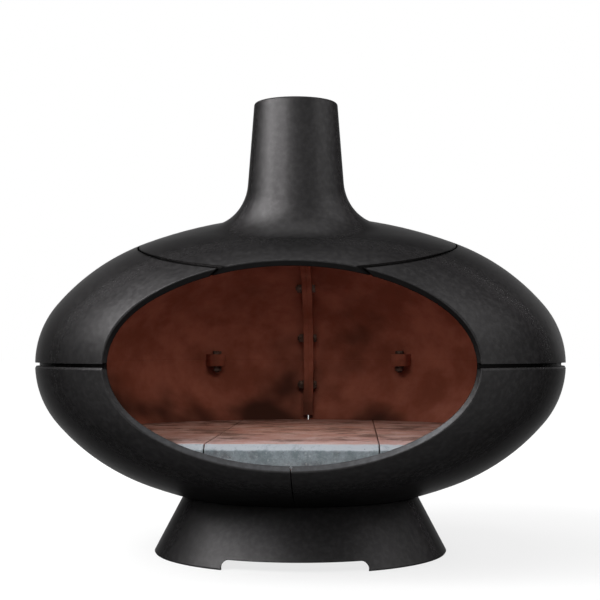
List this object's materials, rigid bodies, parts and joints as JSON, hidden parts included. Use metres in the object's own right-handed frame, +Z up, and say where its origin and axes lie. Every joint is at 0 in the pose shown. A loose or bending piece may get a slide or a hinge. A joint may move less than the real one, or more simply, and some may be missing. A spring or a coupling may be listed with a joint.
{
  "type": "cast iron outdoor oven",
  "caption": "Free-standing outdoor wood oven: flattened round cast iron body with a wide oval mouth, chimney hood, hearth slabs and a conical base.",
  "frame": {"origin": "on the ground, at the centre of the oven's overall plan box", "axes": "+Z up, -Y out of the mouth towards the user, +X to the right of someone facing the mouth"},
  "size_m": [0.74, 0.66, 0.606],
  "materials": {
    "black_enamel": "matt black enamel on fine-grained cast iron",
    "refractory": "cast refractory, matt, with a chamfered front edge",
    "fastener_steel": "zinc-plated steel, dulled"
  },
  "bodies": {
    "oven": {"base": "black_enamel", "lower_shell_left": "black_enamel", "lower_shell_right": "black_enamel", "upper_shell_left": "black_enamel", "upper_shell_right": "black_enamel", "hood": "black_enamel", "base_bolts": "fastener_steel", "base_nuts": "fastener_steel", "base_washers": "fastener_steel", "waist_bolts": "fastener_steel", "waist_nuts": "fastener_steel", "waist_washers": "fastener_steel", "keel_bolts": "fastener_steel", "keel_nuts": "fastener_steel", "keel_washers": "fastener_steel", "ridge_bolts": "fastener_steel", "ridge_nuts": "fastener_steel", "ridge_washers": "fastener_steel", "hood_studs": "fastener_steel", "hood_nuts": "fastener_steel", "hood_washers": "fastener_steel"},
    "slab_left": {"hearth_slab_left": "refractory"},
    "slab_centre": {"hearth_slab_centre": "refractory"},
    "slab_right": {"hearth_slab_right": "refractory"}
  },
  "joints": [
    {"name": "slab_left_lift", "type": "slide", "parent": "oven", "child": "slab_left", "axis": [0, 0, 1], "range_m": [0, 0.06]},
    {"name": "slab_centre_lift", "type": "slide", "parent": "oven", "child": "slab_centre", "axis": [0, 0, 1], "range_m": [0, 0.06]},
    {"name": "slab_right_lift", "type": "slide", "parent": "oven", "child": "slab_right", "axis": [0, 0, 1], "range_m": [0, 0.06]}
  ]
}
